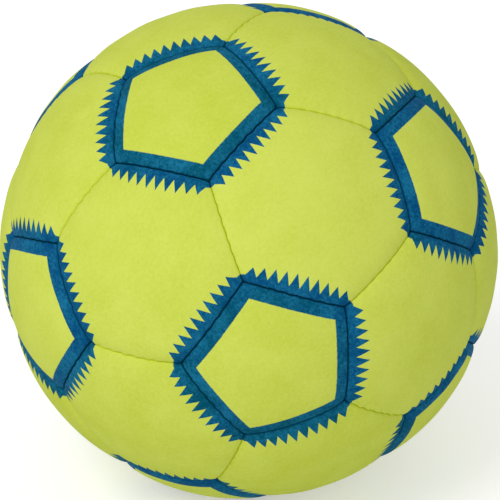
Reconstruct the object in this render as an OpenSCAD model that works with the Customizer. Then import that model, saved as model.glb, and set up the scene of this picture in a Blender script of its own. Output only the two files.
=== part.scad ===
// Indoor soccer ball: a cover of felt hexagons and pentagons with rolled, turned-in and sewn edges,
// laminated cloth backings, an inflated bladder and a self-sealing valve.
// Millimetres, origin at the centre of the ball, +Z up through the middle of a seam between two hexagons.

/* [Ball] */
// Circumference over the crowns of the panels
ball_circumference = 690; // [640:1:720]
// Drop from a panel's crown to its corners, measured on the ball's radius
pillow_depth = 1.2; // [0.6:0.1:2]

/* [Cover] */
// Thickness of the felt
felt_t = 1.8; // [1.2:0.1:2.4]
// Radius of the rolled panel edge beside a seam
roll_r = 2.4; // [2:0.1:3]
// Length of the turned-in felt below the rolled edge
allowance = 2.2; // [1.6:0.1:4]

/* [Seam thread] */
// Diameter of the waxed thread
thread_d = 0.6; // [0.4:0.05:1]
// Clearance between the thread and the felt on each side of it
thread_gap = 0.05; // [0.03:0.01:0.15]
// Length of bare seam between the end of a thread and the panel corner
thread_end = 0.8; // [0.7:0.1:2]

/* [Backing and bladder] */
// Gap between layers that are glued together
bond_gap = 0.1; // [0.05:0.01:0.2]
// Gap between the bladder and the layers around it
bladder_gap = 0.2; // [0.1:0.05:0.4]
// Wall thickness of the bladder
bladder_t = 0.9; // [0.6:0.1:1.5]

/* [Valve] */
// Number of the hexagon that carries the valve
valve_panel = 4; // [1:1:20]
// Diameter of the hole that takes the inflating needle
needle_d = 2; // [1.6:0.1:2.4]
// Depth of the needle hole
needle_depth = 10; // [7:0.5:12]
// Width of the bevel around the mouth of the needle hole
needle_bevel = 0.5; // [0.2:0.1:0.8]
// Diameter of the plug's shank
plug_d = 5; // [4:0.1:5.6]
// Diameter of the plug's head
plug_head_d = 6.6; // [6.2:0.1:7]
// Thickness of the plug's head
plug_head_t = 1.4; // [1:0.1:2]
// Diameter of the bulb that keeps the plug in its housing
plug_bulb_d = 6.4; // [6:0.1:7]
// Length of the bulb
plug_bulb_l = 3; // [2:0.1:4]
// Outer diameter of the housing's neck
neck_d = 9; // [8.4:0.1:10]
// Length of the housing's boss inside the bladder
boss_l = 3; // [2:0.1:5]
// Diameter of the housing's flange inside the bladder
flange_d = 28; // [20:1:36]
// Thickness of the housing's flange
flange_t = 1.4; // [1:0.1:2]
// Depth of the valve's face below the panel's crown
valve_recess = 0.4; // [0.1:0.1:1]
// Clearance around the neck and the plug
valve_gap = 0.1; // [0.05:0.05:0.2]
// Diameter of the cloth patch that stiffens the panel around the valve
patch_d = 36; // [24:1:44]
// Thickness of the cloth patch
patch_t = 0.8; // [0.5:0.1:1.2]

/* [Hidden] */
$fn = 128;
HEX = 6;
PENT = 5;

// The thread lies between the two layers of felt that meet in a seam
seam_gap = thread_d + 2 * thread_gap;

// Radii from the centre of the ball
ball_r = ball_circumference / (2 * PI);
corner_r = ball_r - pillow_depth;
thread_r = corner_r - roll_r;
tip_r = thread_r - allowance;
bladder_r = tip_r - bladder_gap;
bladder_inner_r = bladder_r - bladder_t;
flange_r = bladder_inner_r - bond_gap;

// Stations along the valve's axis
valve_top = ball_r - valve_recess;
head_seat = valve_top - plug_head_t;
boss_end = flange_r - flange_t - boss_l;
neck_hole_d = neck_d + 2 * valve_gap;

// Share of the roll's radius at which the roll crosses the dome and the seam plane, so that neither is tangent
roll_cross = 0.97;
// A sweep runs this many degrees past the ends of its seam
sweep_over = 4;

// A ball of regular hexagons and pentagons whose seams are two units long has a corner at this point
phi = (1 + sqrt(5)) / 2;
corner_point = [0, 1, 3 * phi];
// Proportion of the ball's radius to the length of a seam, and the angle that a seam spans
ball_to_seam = norm(corner_point) / 2;
seam_angle = 2 * asin(1 / (2 * ball_to_seam));
// Panels that share a seam have axes closer together than this angle
neighbour_angle = 45;

// Reach of a polygon from its middle to a side and to a corner, in lengths of its side
function side_reach(n) = 1 / (2 * tan(180 / n));
function corner_reach(n) = 1 / (2 * sin(180 / n));
// Angles at the ball's centre from a panel's axis to its corners and to the middles of its seams
function corner_tilt(n) = asin(corner_reach(n) / ball_to_seam);
function seam_tilt(n) = atan(side_reach(n) / (ball_to_seam * cos(corner_tilt(n))));

// The dome of a panel is the sphere through its crown and its corners, centred on the panel's axis
function dome_centre(n) =
    (ball_r ^ 2 - corner_r ^ 2) / (2 * (ball_r - corner_r * cos(corner_tilt(n))));
function dome_r(n) = ball_r - dome_centre(n);

// Directions of the panels' axes
function unit(v) = v / norm(v);
function turns(v) = [v, [v.z, v.x, v.y], [v.y, v.z, v.x]];
pentagon_axes = [
    for (a = [-1, 1]) for (b = [-phi, phi]) for (v = turns([0, a, b])) unit(v)
];
hexagon_axes = concat(
    [for (x = [-1, 1]) for (y = [-1, 1]) for (z = [-1, 1]) unit([x, y, z])],
    [for (a = [-1, 1]) for (b = [-1, 1]) for (v = turns([a / phi, 0, b * phi])) unit(v)]
);

function near(a, b) = a * b > cos(neighbour_angle);
function neighbours(axis, list) = [for (v = list) if (near(axis, v)) v];

// Seams between two hexagons, each as the pair of axes on its two sides
hexagon_pairs = [
    for (i = [0 : len(hexagon_axes) - 1])
        for (j = [i + 1 : 1 : len(hexagon_axes) - 1])
            if (near(hexagon_axes[i], hexagon_axes[j])) [hexagon_axes[i], hexagon_axes[j]]
];

function numbered(name, i) = str(name, i < 9 ? "_0" : "_", i + 1);
hexagon_names = [for (i = [0 : len(hexagon_axes) - 1]) numbered("hexagon_panel", i)];
pentagon_names = [for (i = [0 : len(pentagon_axes) - 1]) numbered("pentagon_panel", i)];

// Turns +Z to an axis and +X towards a second direction
module aim(axis, toward) {
    x = unit(toward - (toward * axis) * axis);
    y = cross(axis, x);
    multmatrix([
        [x.x, y.x, axis.x, 0],
        [x.y, y.y, axis.y, 0],
        [x.z, y.z, axis.z, 0]
    ])
        children();
}

// A hexagon's first seam lies towards a pentagon, and a pentagon's towards a hexagon
module on_hexagon(i) {
    aim(hexagon_axes[i], neighbours(hexagon_axes[i], pentagon_axes)[0])
        children();
}

module on_pentagon(i) {
    aim(pentagon_axes[i], neighbours(pentagon_axes[i], hexagon_axes)[0])
        children();
}

// Stands +Z on the middle of a panel's seam, with +X square across the seam and out of the panel
module on_seams(n) {
    for (k = [0 : n - 1])
        rotate([0, seam_tilt(n), k * 360 / n])
            children();
}

// Sweeps a profile along a seam: x is the distance from the axis of the sweep, y the way across the seam
module seam_sweep(angle) {
    rotate([90, 0, 90])
        rotate([0, 0, 90 - angle / 2])
            rotate_extrude(angle = angle)
                children();
}

// Solid under a panel's dome, this far inside its outer faces, with its point near the ball's centre
module panel_core(n, inset) {
    difference() {
        translate([0, 0, dome_centre(n)])
            sphere(dome_r(n) - inset);
        on_seams(n)
            translate([-seam_gap / 2 - inset, -ball_r, -ball_r])
                cube(2 * ball_r);
    }
}

// What is cut away to roll the edges of a panel
module roll_cuts(n) {
    across = dome_centre(n) * sin(seam_tilt(n));
    y = across - seam_gap / 2 - roll_cross * roll_r;
    x = sqrt((dome_r(n) - roll_cross * roll_r) ^ 2 - y ^ 2);
    on_seams(n)
        translate([-across, 0, dome_centre(n) * cos(seam_tilt(n))])
            seam_sweep(seam_angle + 2 * sweep_over)
                translate([x, y])
                    difference() {
                        square(2 * roll_r);
                        circle(roll_r);
                    }
}

// One seam's thread, ended short of the corners where three seams meet
module thread() {
    seam_sweep(seam_angle - 2 * thread_end / thread_r * 180 / PI)
        translate([thread_r, 0])
            circle(d = thread_d);
}

// Felt panel: a pillowed dome with rolled edges and walls turned in along the seams
module panel(n) {
    color([0.79, 0.84, 0.29])
        difference() {
            panel_core(n, 0);
            roll_cuts(n);
            panel_core(n, felt_t);
            sphere(tip_r);
        }
}

// Layers of cloth glued into a panel, flush with its turned-in edges
module backing(n) {
    color([0.90, 0.89, 0.84])
        difference() {
            panel_core(n, felt_t + bond_gap);
            sphere(tip_r);
        }
}

// Round hole for the neck of the valve
module neck_hole() {
    cylinder(d = neck_hole_d, h = 2 * ball_r);
}

// Disc of a thick shell, bounded by two spheres about the ball's centre
module shell_disc(diameter, inside_r, outside_r) {
    difference() {
        intersection() {
            sphere(outside_r);
            cylinder(d = diameter, h = ball_r);
        }
        sphere(inside_r);
    }
}

module hexagon_panel(i) {
    on_hexagon(i)
        difference() {
            panel(HEX);
            if (i == valve_panel - 1) neck_hole();
        }
}

module pentagon_panel(i) {
    on_pentagon(i)
        panel(PENT);
}

module hexagon_backings() {
    for (i = [0 : len(hexagon_axes) - 1])
        on_hexagon(i)
            difference() {
                backing(HEX);
                if (i == valve_panel - 1) {
                    neck_hole();
                    shell_disc(patch_d + 2 * bond_gap, tip_r - bladder_gap, tip_r + patch_t + bond_gap);
                }
            }
}

module pentagon_backings() {
    for (i = [0 : len(pentagon_axes) - 1])
        on_pentagon(i)
            backing(PENT);
}

module hexagon_seam_threads() {
    color([0.36, 0.40, 0.16])
        for (pair = hexagon_pairs)
            aim(unit(pair[0] + pair[1]), pair[1])
                thread();
}

module pentagon_seam_threads() {
    color([0.05, 0.14, 0.20])
        for (i = [0 : len(pentagon_axes) - 1])
            on_pentagon(i)
                on_seams(PENT)
                    thread();
}

// Rubber ball that holds the air
module bladder() {
    color([0.12, 0.12, 0.13])
        difference() {
            sphere(bladder_r);
            sphere(bladder_inner_r);
            on_hexagon(valve_panel - 1)
                neck_hole();
        }
}

// Cloth ring between the bladder and the backing of the valve's panel
module valve_patch() {
    color([0.80, 0.78, 0.72])
        on_hexagon(valve_panel - 1)
            difference() {
                shell_disc(patch_d, tip_r, tip_r + patch_t);
                neck_hole();
            }
}

// Moulded neck on a flange that is glued inside the bladder
module valve_housing() {
    color([0.16, 0.16, 0.17])
        on_hexagon(valve_panel - 1)
            difference() {
                union() {
                    shell_disc(flange_d, flange_r - flange_t, flange_r);
                    translate([0, 0, boss_end])
                        cylinder(d = neck_d, h = valve_top - boss_end);
                }
                translate([0, 0, boss_end - boss_l])
                    cylinder(d = plug_d + 2 * valve_gap, h = ball_r);
                translate([0, 0, head_seat])
                    cylinder(d = plug_head_d + 2 * valve_gap, h = ball_r);
            }
}

// Soft plug with a blind needle hole, held by its head and its bulb
module valve_plug() {
    color([0.10, 0.10, 0.11])
        on_hexagon(valve_panel - 1)
            difference() {
                union() {
                    translate([0, 0, head_seat + valve_gap])
                        cylinder(d = plug_head_d, h = plug_head_t - valve_gap);
                    translate([0, 0, boss_end - valve_gap - plug_bulb_l])
                        cylinder(d = plug_d, h = valve_top - boss_end + valve_gap + plug_bulb_l);
                    translate([0, 0, boss_end - valve_gap - plug_bulb_l])
                        cylinder(d1 = plug_d, d2 = plug_bulb_d, h = plug_bulb_l);
                }
                translate([0, 0, valve_top - needle_depth])
                    cylinder(d = needle_d, h = 2 * needle_depth);
                translate([0, 0, valve_top - needle_bevel])
                    cylinder(d1 = needle_d, d2 = needle_d + 4 * needle_bevel, h = 2 * needle_bevel);
            }
}

for (i = [0 : len(hexagon_axes) - 1]) {
    hexagon_panel(i);
}
for (i = [0 : len(pentagon_axes) - 1]) {
    pentagon_panel(i);
}
hexagon_backings();
pentagon_backings();
hexagon_seam_threads();
pentagon_seam_threads();
bladder();
valve_patch();
valve_housing();
valve_plug();
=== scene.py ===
"""Indoor soccer ball: a sewn felt cover, its thread and cloth, the bladder and the valve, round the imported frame.

Everything is in metres in the frame's own axes. Every piece is a surface worked out with numpy.
"""

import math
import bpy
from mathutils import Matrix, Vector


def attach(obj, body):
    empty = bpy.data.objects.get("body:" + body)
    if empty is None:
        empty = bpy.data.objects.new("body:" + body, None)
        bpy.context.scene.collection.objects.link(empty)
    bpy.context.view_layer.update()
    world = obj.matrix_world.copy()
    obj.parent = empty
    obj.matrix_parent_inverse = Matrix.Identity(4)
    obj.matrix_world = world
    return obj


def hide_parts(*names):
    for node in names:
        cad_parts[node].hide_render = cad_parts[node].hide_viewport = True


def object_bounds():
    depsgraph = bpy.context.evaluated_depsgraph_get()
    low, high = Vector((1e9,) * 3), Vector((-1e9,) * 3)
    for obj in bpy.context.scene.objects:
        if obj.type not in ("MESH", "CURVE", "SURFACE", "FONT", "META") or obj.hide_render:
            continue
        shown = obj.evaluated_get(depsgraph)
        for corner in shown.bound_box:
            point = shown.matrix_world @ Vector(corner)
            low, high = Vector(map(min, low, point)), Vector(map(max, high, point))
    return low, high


bl_info = {
    "name": "Indoor Soccer Ball",
    "version": (1, 0, 0),
    "blender": (4, 5, 0),
    "location": "3D View > Sidebar > Ball",
    "description": "Felt cover, seams, inner layers and valve of an indoor soccer ball, with its stage",
    "category": "Add Mesh",
}

import bpy
import numpy as np
from bpy.props import FloatProperty, FloatVectorProperty, IntProperty, PointerProperty
from mathutils import Matrix, Vector

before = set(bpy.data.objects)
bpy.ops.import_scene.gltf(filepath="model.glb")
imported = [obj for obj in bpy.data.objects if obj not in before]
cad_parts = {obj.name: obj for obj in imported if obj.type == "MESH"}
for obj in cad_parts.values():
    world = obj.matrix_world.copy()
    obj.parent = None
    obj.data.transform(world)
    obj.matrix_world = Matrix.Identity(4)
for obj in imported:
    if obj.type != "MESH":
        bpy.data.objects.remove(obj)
cad_box = [list(corner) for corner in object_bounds()]

BODY = "root"
HEX = 6
PENT = 5
PHI = (1 + math.sqrt(5)) / 2
# Radius over seam of a ball of regular hexagons and pentagons. Where its seams are two units long, the ball has a
# corner at (0, 1, 3 PHI).
UNIT_BALL = math.hypot(1, 3 * PHI) / 2
SEAM_ANGLE = 2 * math.asin(1 / (2 * UNIT_BALL))
# Panels share a seam where the angle between their axes is less than this one
NEIGHBOUR_COS = math.cos(math.radians(45))
# The hexagon that carries the valve, counted from nought
VALVE_PANEL = 3
WANDER_SEED = 11
LUMP_SEED = 12
STITCH_SEED = 13
TONE_SEED = 5
# Turn of the felt's fibres from the ball's axes, so that no panel lies square to them
FIBRE_TURN = (0.4, 0.7, 0.2)
# Sine waves in a sum of waves, how far their lengths differ, and the gain that brings their mean to about -1 to 1
WAVES = 7
WAVE_SPREAD = (0.6, 1.4)
WAVE_GAIN = 1.6
# How much further the felt is drawn down at a corner than its roll alone would go
CORNER_PULL = 1.4
# How much tighter or looser than the rest a stitch is at most, and the direction that decides to which side of a seam
# it draws
STITCH_UNEVENNESS = 0.5
STITCH_SIDE = (0.62, 0.71, 0.33)
# Powers that keep a slit even up to its corners, and a thread level and round up to its ends
SLIT_EVENNESS = 8
END_LEVELNESS = 8
END_ROUNDNESS = 30
# Least thickness of a thread at its ends, as a share
THREAD_POINT = 0.02
# Most of a profile's line that a rounded corner takes up
CORNER_SHARE = 0.45
# How far to each side of the bladder's moulding line the fine stations go, in widths of that line
PARTING_SPAN = 2

# Shares of fibre bundles and tufts in the matted felt
HAIRS, TUFTS = 0.5, 0.5
# Shares of the matted felt, the broad clouds and the panel's own tone in the felt's shade
MATTED, CLOUDS, TONE = 0.62, 0.26, 0.12
# Shares of the matted felt and the blotches in the ink's thin places, and of clouds and the panel's tone in its hue
FLECKS, BLOTCHES = 0.75, 0.25
INK_CLOUDS, INK_TONE = 0.6, 0.4
# Share of the weave in the height of the cloth
WEAVE = 0.35
# Ranges over which the felt turns from deep to pale, the ink from petrol to blue and from full to thin, the painted
# shade of the seam's groove sets in, the thread and the cloth lose the painted shade of their furrows, and the rubber
# blooms
SHADE_RANGE = (0.30, 0.70)
HUE_RANGE = (0.38, 0.62)
THIN_RANGE = (0.46, 0.64)
CREASE_RANGE = (0.3, 1.0)
PLY_RANGE = (0.0, 0.5)
WEAVE_RANGE = (0.1, 0.9)
BLOOM_RANGE = (0.4, 0.8)
# The whole range of most noises
NOISE_RANGE = (0.2, 0.8)
# Octaves of soft noises and of rich ones, and the roughness and the curl of the rich ones
SOFT, RICH = 3.0, 4.0
RICH_ROUGHNESS, RICH_CURL = 0.6, 0.4
# Strength of the bump of each surface
FELT_BUMP, THREAD_BUMP, CLOTH_BUMP, RUBBER_BUMP = 0.7, 0.6, 0.5, 0.35
# Painted shade in the thread's and the cloth's furrows, and the floor's dust, as shares of the colour around them
THREAD_FURROW_SHADE, CLOTH_FURROW_SHADE, FLOOR_DUST = 0.55, 0.72, 0.99
# Where the ink on a thread ends, over the width of the printed band
THREAD_INK = 1.3
# Bloom of the rubber: its size over the grain's, and the gain and lift of its colour
BLOOM_SIZE, BLOOM_GAIN, BLOOM_LIFT = 14, 1.9, 0.006
# Roughness of each surface from its low places to its high ones
FELT_ROUGHNESS = (0.72, 0.60)
THREAD_ROUGHNESS = (0.62, 0.48)
CLOTH_ROUGHNESS = (0.80, 0.95)
BLADDER_ROUGHNESS = (0.38, 0.55)
VALVE_ROUGHNESS = (0.52, 0.70)
FLOOR_ROUGHNESS = 0.9
# Gloss left on the nap
FELT_GLOSS = 0.02

# Stations of the surfaces
SIDE_STATIONS = 56
DOME_RINGS = 26
RIM_RINGS = 6
ROLL_RINGS = 12
INNER_RINGS = 7
PAD_STATIONS = 12
PAD_RINGS = 7
PLY_STEPS = 4
THREAD_STATIONS = 72
THREAD_SIDES = 8
REVOLVE_STATIONS = 96
SHELL_STATIONS = 90
PARTING_STATIONS = 13
ARC_STATIONS = 12
CORNER_STEPS = 6

# Sockets of a Mix node that carry its factor, its two colours and the colour that it gives
MIX_FACTOR, MIX_FIRST, MIX_SECOND = 0, 6, 7
MIX_COLOUR = 2
WHITE = (1, 1, 1, 1)

# The camera's sensor in millimetres and the distances between which it sees
SENSOR = 36
NEAREST, FARTHEST = 0.01, 50


def length(name, description, default):
    """A length in metres that the sidebar shows."""
    return FloatProperty(name=name, description=description, default=default, min=0, unit="LENGTH", precision=5)


def number(name, description, default):
    """A plain number that the sidebar shows."""
    return FloatProperty(name=name, description=description, default=default)


def angle(name, description, degrees):
    """An angle that the sidebar shows in degrees."""
    return FloatProperty(name=name, description=description, default=math.radians(degrees), subtype="ANGLE")


def place(name, description, default):
    """A place across, up and towards the camera that the sidebar shows."""
    return FloatVectorProperty(name=name, description=description, default=default, size=3, unit="LENGTH")


def colour(name, description, default):
    """A linear colour that the sidebar shows."""
    return FloatVectorProperty(
        name=name, description=description, default=default, size=3, min=0, max=1, subtype="COLOR"
    )


class CoverSizes(bpy.types.PropertyGroup):
    """Sizes of the felt cover"""

    circumference: length("Circumference", "Round the crowns of the panels", 0.690)
    pillow_depth: length("Pillow depth", "Drop from a panel's crown to its corners", 0.0012)
    felt_thickness: length("Felt thickness", "Thickness of the felt", 0.0018)
    roll_width: length("Roll width", "Width of the rolled edge beside a seam", 0.0008)
    roll_depth: length("Roll depth", "Depth of the rolled edge", 0.0006)
    wall_depth: length("Wall depth", "From the corner of the dome to the end of the turned-in felt", 0.0046)
    ring_slit: length("Ring slit", "Width of the slit left between the rolled edges round a pentagon", 0.00020)
    lime_slit: length("Lime slit", "Width of the slit left between the rolled edges of two hexagons", 0.00002)
    seam_gap: length("Seam gap", "Width of the gap below the slit, which holds the thread", 0.0008)
    shoulder_drop: length("Shoulder drop", "How far the felt is drawn down beside a seam", 0.0013)
    shoulder_reach: length("Shoulder reach", "How far from the seam the felt is drawn down", 0.0036)
    pucker_depth: length("Pucker depth", "Depth of the dimple that a stitch makes", 0.00034)
    pucker_reach: length("Pucker reach", "How far a dimple spreads from the seam", 0.0016)
    scallop: length("Scallop", "How far a stitch draws the line of the seam aside", 0.00016)
    scallop_reach: length("Scallop reach", "How far from the seam the felt follows", 0.0014)
    stitch_stray: length("Stitch stray", "How far along the seam a stitch strays from its place", 0.0008)
    stitch_spread: length("Stitch spread", "Length over which tight and loose stitches alternate", 0.010)
    wander: length("Seam wander", "How far a hand-sewn seam strays from its line", 0.00045)
    wander_length: length("Wander length", "Length of a stray along a seam", 0.050)
    still: length("Still", "How far round the valve the cover doesn't stray", 0.008)
    still_fade: length("Still fade", "Width over which straying sets in again", 0.016)
    lump: length("Lumps", "Unevenness of the padded cover", 0.00012)
    lump_length: length("Lump length", "Length of a lump", 0.022)
    rim_drop: length("Rim drop", "How far the felt is drawn down at the valve", 0.0003)
    rim_reach: length("Rim reach", "How far from the valve the felt is drawn down", 0.0006)
    hold: length("Hold", "Height over the turned-in ends from which a seam strays in full", 0.0026)
    foot: length("Foot", "Depth at which the slit opens into the gap", 0.0006)
    tip_round: length("Tip", "Least height of the turned-in end", 0.0003)


class PrintSizes(bpy.types.PropertyGroup):
    """Sizes of the printed rings"""

    pentagon_band: length("Pentagon band", "Width of the printed band inside a pentagon", 0.0056)
    hexagon_band: length("Hexagon band", "Width of the printed band on the hexagons", 0.0032)
    tooth_height: length("Tooth height", "Height of the tallest printed tooth", 0.0060)
    teeth: IntProperty(name="Teeth", description="Teeth along one seam", default=10, min=1)
    taper: number("Taper", "Share of their height that the last teeth of a seam lose", 0.45)
    bleed: length("Bleed", "How far the ink creeps along the fibres", 0.00020)
    edge: length("Edge", "Width over which the ink fades out", 0.00018)


class InnerSizes(bpy.types.PropertyGroup):
    """Sizes of the cloth layers and the bladder"""

    bond: length("Bond", "Gap between layers that are glued together", 0.0001)
    plies: IntProperty(name="Plies", description="Layers of cloth behind a panel", default=4, min=1)
    ply_swell: length("Ply swell", "How far the edge of a layer swells out", 0.00015)
    patch: length("Patch", "Diameter of the cloth patch round the valve", 0.0360)
    patch_thickness: length("Patch thickness", "Thickness of the cloth patch", 0.0008)
    bladder_gap: length("Bladder gap", "Gap between the bladder and the layers around it", 0.0002)
    bladder_wall: length("Bladder wall", "Wall thickness of the bladder", 0.0009)
    parting_height: length("Parting height", "Height of the moulding line round the bladder", 0.00012)
    parting_width: length("Parting width", "Width of the moulding line", 0.0010)


class ThreadSizes(bpy.types.PropertyGroup):
    """Sizes of the seam thread"""

    diameter: length("Diameter", "Diameter of the waxed thread", 0.0006)
    depth: length("Depth", "Depth of the thread below the corners of the panels", 0.00375)
    bare_end: length("Bare end", "Bare seam between the thread and the corner", 0.0030)
    stitches: IntProperty(name="Stitches", description="Stitches along one seam", default=8, min=2)
    lift: length("Lift", "Rise and fall of the thread in a stitch", 0.00008)
    dive: length("Dive", "How far the thread goes down at its ends", 0.0003)
    twist: number("Twist", "Turns of the plies in half a seam", 40)


class ValveSizes(bpy.types.PropertyGroup):
    """Sizes of the valve"""

    recess: length("Recess", "Depth of the valve's face below the panel's crown", 0.0004)
    neck: length("Neck", "Diameter of the housing's neck", 0.0090)
    gap: length("Gap", "Clearance around the neck and the plug", 0.0001)
    flange: length("Flange", "Diameter of the housing's flange", 0.0280)
    flange_thickness: length("Flange thickness", "Thickness of the housing's flange", 0.0014)
    boss: length("Boss", "Length of the boss inside the bladder", 0.0030)
    plug: length("Plug", "Diameter of the plug's shank", 0.0050)
    plug_head: length("Plug head", "Diameter of the plug's head", 0.0066)
    plug_head_thickness: length("Plug head thickness", "Thickness of the plug's head", 0.0014)
    bulb: length("Bulb", "Diameter of the plug's bulb", 0.0064)
    bulb_length: length("Bulb length", "Length of the plug's bulb", 0.0030)
    needle: length("Needle hole", "Diameter of the needle hole", 0.0020)
    needle_depth: length("Needle depth", "Depth of the needle hole", 0.0100)
    bevel: length("Bevel", "Width of the bevel at the needle hole", 0.0005)
    rounding: length("Rounding", "Radius of the moulded corners", 0.00025)


class GrainSizes(bpy.types.PropertyGroup):
    """Sizes of the patterns in the materials"""

    cloud: length("Cloud", "Broad mottling of the felt and the ink", 0.016)
    blotch: length("Blotch", "Blotches of the ink", 0.009)
    tuft: length("Tuft", "Tufts of the felt", 0.0013)
    hair_width: length("Hair width", "Width of a bundle of fibres", 0.00016)
    hair_length: length("Hair length", "Length of a bundle of fibres", 0.0022)
    nap: length("Nap", "Height of the felt's nap", 0.00022)
    creep: length("Creep", "Size of the ink's unevenness along an edge", 0.0011)
    ply: length("Ply", "Depth of the furrow between the thread's plies", 0.0001)
    weave: length("Weave", "Two threads of the backing cloth", 0.0009)
    slub: length("Slub", "Thick places in the cloth's thread", 0.003)
    relief: length("Relief", "Height of the weave", 0.0002)
    valve_grain: length("Valve grain", "Die grain of the valve's rubber", 0.0005)
    bladder_grain: length("Bladder grain", "Die grain of the bladder's rubber", 0.0008)
    die_depth: length("Die depth", "Depth of the rubber's grain", 0.00008)
    dust: length("Dust", "Faint unevenness of the floor", 0.25)


class Finishes(bpy.types.PropertyGroup):
    """Colours of the materials"""

    felt: colour("Felt", "Lime felt", (0.634, 0.721, 0.120))
    felt_deep: colour("Felt, deep", "Lime felt where the nap lies flat", (0.522, 0.605, 0.053))
    # The next colour is painted shade: a darker, more saturated lime over the rolled edge into each seam
    felt_groove_shade: colour("Felt, crease", "Lime felt pressed together beside a seam", (0.575, 0.655, 0.016))
    ink: colour("Ink", "Petrol blue ink", (0.0004, 0.074, 0.126))
    ink_blue: colour("Ink, blue", "Ink where it came out bluer", (0.0010, 0.067, 0.185))
    ink_thin: colour("Ink, thin", "Ink where fibres show through", (0.0105, 0.166, 0.303))
    # The next colour is painted shade: a darker ink over the rolled edge into each seam
    ink_groove_shade: colour("Ink, crease", "Ink on felt pressed together beside a seam", (0.0003, 0.056, 0.108))
    lime_thread: colour("Lime thread", "Thread between hexagons", (0.420, 0.470, 0.020))
    blue_thread: colour("Blue thread", "Thread round the pentagons", (0.004, 0.030, 0.055))
    cloth: colour("Cloth", "Backing cloth", (0.780, 0.760, 0.690))
    bladder: colour("Bladder", "Bladder rubber", (0.016, 0.016, 0.018))
    rubber: colour("Valve rubber", "Rubber of the valve", (0.022, 0.022, 0.024))
    floor: colour("Floor", "Pale floor", (0.860, 0.860, 0.855))


class StageSettings(bpy.types.PropertyGroup):
    """Light, floor and camera"""

    floor_width: length("Floor width", "Side of the square floor", 8.0)
    azimuth: angle("Azimuth", "Camera's turn about the upright axis", 26.4)
    elevation: angle("Elevation", "Camera's height above the horizon", 26.05)
    roll: angle("Roll", "Camera's turn about its own axis", 0.58)
    distance: length("Distance", "From the camera to the middle of the ball", 1.0)
    lens: number("Lens", "Focal length in millimetres", 162.45)
    shift_x: number("Shift across", "Camera shift across the picture", 0.0031)
    shift_y: number("Shift up", "Camera shift up the picture", 0.0010)
    sky: number("Sky", "Strength of the light from all round", 0.57)
    key: number("Key", "Power of the large lamp in watts", 23.4)
    key_place: place("Key place", "Where the large lamp hangs", (-1.0, 1.2, 2.0))
    key_size: length("Key size", "Side of the large lamp", 1.2)
    fill: number("Fill", "Power of the lamp in front in watts", 12.0)
    fill_place: place("Fill place", "Where the lamp in front hangs", (-0.3, -0.2, 2.6))
    fill_size: length("Fill size", "Side of the lamp in front", 2.4)
    rear: number("Rear", "Power of the lamp behind in watts", 6.0)
    rear_place: place("Rear place", "Where the lamp behind hangs", (0.4, 0.2, -2.8))
    rear_size: length("Rear size", "Side of the lamp behind", 1.8)
    floor_glow: number("Floor glow", "Light that lifts the floor to white in the picture", 0.40)
    far_glow: number("Far glow", "The same far from the ball, where the lamps don't reach", 0.56)
    near: length("Near", "Distance from the ball up to which the lamps are strong", 0.6)
    far: length("Far", "Distance from the ball at which the lamps are weak", 2.5)


# Shapes


def unit(v):
    """Vectors divided by their own lengths."""
    v = np.asarray(v, float)
    return v / np.linalg.norm(v, axis=-1, keepdims=True)


def turns(v):
    """The three cyclic turns of a vector."""
    return [v, (v[2], v[0], v[1]), (v[1], v[2], v[0])]


def pentagon_axes():
    """Directions of the twelve pentagons: the cyclic turns of (0, +-1, +-golden ratio)."""
    return unit([v for a in (-1, 1) for b in (-PHI, PHI) for v in turns((0, a, b))])


def hexagon_axes():
    """Directions of the twenty hexagons: a cube's corners, then the cyclic turns of (+-1/golden, 0, +-golden)."""
    cube = [(x, y, z) for x in (-1, 1) for y in (-1, 1) for z in (-1, 1)]
    rest = [v for a in (-1, 1) for b in (-1, 1) for v in turns((a / PHI, 0, b * PHI))]
    return unit(cube + rest)


def aim(axis, toward):
    """Rotation whose columns are x, towards the second direction and square to the axis, y, and z, the axis."""
    x = unit(toward - (toward @ axis) * axis)
    return np.stack([x, np.cross(axis, x), axis], axis=1)


def panel_aims(sides):
    """One rotation per panel with this many sides, with x towards the first neighbour of the other kind."""
    axes, others = hexagon_axes(), pentagon_axes()
    if sides == PENT:
        axes, others = others, axes
    return [aim(a, next(o for o in others if a @ o > NEIGHBOUR_COS)) for a in axes]


def ball_radius(cover):
    """Radius over the crowns, from the circumference."""
    return cover.circumference / (2 * math.pi)


def corner_radius(cover):
    """Radius, from the ball's centre, of the corners of the domed panels."""
    return ball_radius(cover) - cover.pillow_depth


def seam_tilt(sides):
    """Angle between a panel's axis and the middle of its seam, on a ball of equal seams."""
    outer = 1 / (2 * math.sin(math.pi / sides))
    inner = 1 / (2 * math.tan(math.pi / sides))
    return math.atan(inner / math.sqrt(UNIT_BALL**2 - outer**2))


def dome(sides, cover):
    """Height of the centre and radius of the sphere through a panel's crown and its corners."""
    crown = ball_radius(cover)
    corner = corner_radius(cover)
    corner_cos = math.sqrt(1 - (1 / (2 * math.sin(math.pi / sides)) / UNIT_BALL) ** 2)
    centre = (crown**2 - corner**2) / (2 * (crown - corner * corner_cos))
    return centre, crown - centre


def tip_radius(cover):
    """Radius, from the ball's centre, of the ends of the turned-in felt."""
    return corner_radius(cover) - cover.wall_depth


def bladder_radii(cover, inner):
    """Radii, from the ball's centre, of the bladder outside and inside."""
    outside = tip_radius(cover) - inner.bladder_gap
    return outside, outside - inner.bladder_wall


def valve_turn():
    """Rotation whose z is the valve's axis."""
    return panel_aims(HEX)[VALVE_PANEL]


def valve_hole(valve, sides=HEX, panel=VALVE_PANEL):
    """Radius of the hole that a panel has for the valve's neck, nought for all panels but one."""
    return valve.neck / 2 + valve.gap if sides == HEX and panel == VALVE_PANEL else 0


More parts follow.
